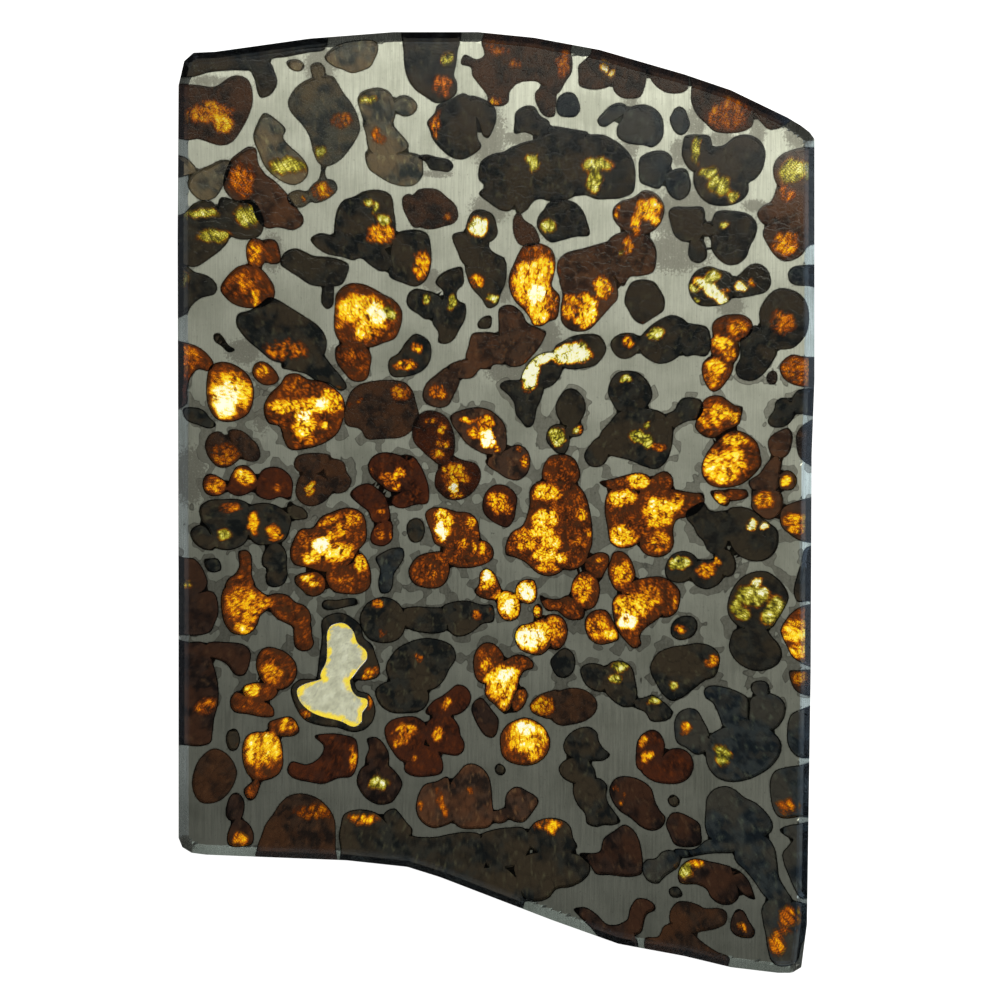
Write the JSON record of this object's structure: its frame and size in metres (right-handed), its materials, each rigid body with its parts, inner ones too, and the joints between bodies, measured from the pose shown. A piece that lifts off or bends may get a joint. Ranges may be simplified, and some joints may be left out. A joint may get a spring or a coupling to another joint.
{
  "type": "pallasite meteorite slice",
  "caption": "Thin polished slice of stony-iron meteorite: rounded olivine crystals held in a network of iron-nickel metal, with a bevelled rim.",
  "frame": {"origin": "middle of the bounding box on the back face, which lies on the ground", "axes": "+Z out of the viewed face, +Y up the picture along the long side, +X to the picture's right"},
  "size_m": [0.068, 0.1002, 0.003],
  "materials": {
    "iron_nickel": "polished, faintly brushed",
    "olivine_dark": "polished crystal, nearly opaque",
    "olivine_brown": "polished crystal, dull brown",
    "olivine_amber": "polished crystal, crackled inside",
    "olivine_clear": "polished, colourless"
  },
  "bodies": {
    "root": {"metal_matrix": "iron_nickel", "olivine_window_clear": "olivine_clear", "olivine_corner_top_left": "olivine_dark", "olivine_left_long_chain": "olivine_dark", "olivine_top_dark_column": "olivine_dark", "olivine_top_rainbow_bowl": "olivine_dark", "olivine_black_centre_top": "olivine_dark", "olivine_right_black_upper": "olivine_dark", "olivine_right_black_dome": "olivine_dark", "olivine_centre_olive": "olivine_dark", "olivine_centre_green_black": "olivine_dark", "olivine_upper_left_black": "olivine_dark", "olivine_right_band_column": "olivine_dark", "olivine_mid_black_lit_right": "olivine_dark", "olivine_centre_brown_ember": "olivine_dark", "olivine_mid_dark_rings": "olivine_dark", "olivine_left_olive_pair": "olivine_dark", "olivine_low_black_lump": "olivine_dark", "olivine_low_black_knuckle": "olivine_dark", "olivine_low_black_drum": "olivine_dark", "olivine_low_black_wedge": "olivine_dark", "olivine_low_edge_blue": "olivine_dark", "olivine_low_great_black": "olivine_dark", "olivine_low_bottom_band": "olivine_dark", "olivine_low_brown_block": "olivine_dark", "olivine_window_rim": "olivine_dark", "olivine_low_left_dark": "olivine_dark", "olivine_left_brown": "olivine_brown", "olivine_top_grey_brown": "olivine_brown", "olivine_top_brown_large": "olivine_brown", "olivine_top_edge_brown": "olivine_brown", "olivine_top_right_red": "olivine_brown", "olivine_mid_brown_ember": "olivine_brown", "olivine_low_edge_rust_pair": "olivine_brown", "olivine_low_left_great_brown": "olivine_brown", "olivine_left_yellow_red": "olivine_amber", "olivine_left_lit_round": "olivine_amber", "olivine_right_lit_edge": "olivine_amber", "olivine_centre_lit_orange": "olivine_amber", "olivine_centre_yellow_brown": "olivine_amber", "olivine_left_lit_fire": "olivine_amber", "olivine_lit_river": "olivine_amber", "olivine_right_lit_white": "olivine_amber", "olivine_centre_fire_column": "olivine_amber", "olivine_centre_fire_lower": "olivine_amber", "olivine_centre_pyramid": "olivine_amber", "olivine_right_crackled": "olivine_amber", "olivine_right_edge_honey": "olivine_amber", "olivine_mid_great_fire": "olivine_amber", "olivine_left_edge_yellow": "olivine_amber", "olivine_left_fire_crown": "olivine_amber", "olivine_mid_fire_twin": "olivine_amber", "olivine_low_fire_branch": "olivine_amber", "olivine_low_flame": "olivine_amber", "olivine_low_yellow_round": "olivine_amber", "olivine_low_left_fire": "olivine_amber"}
  },
  "joints": []
}
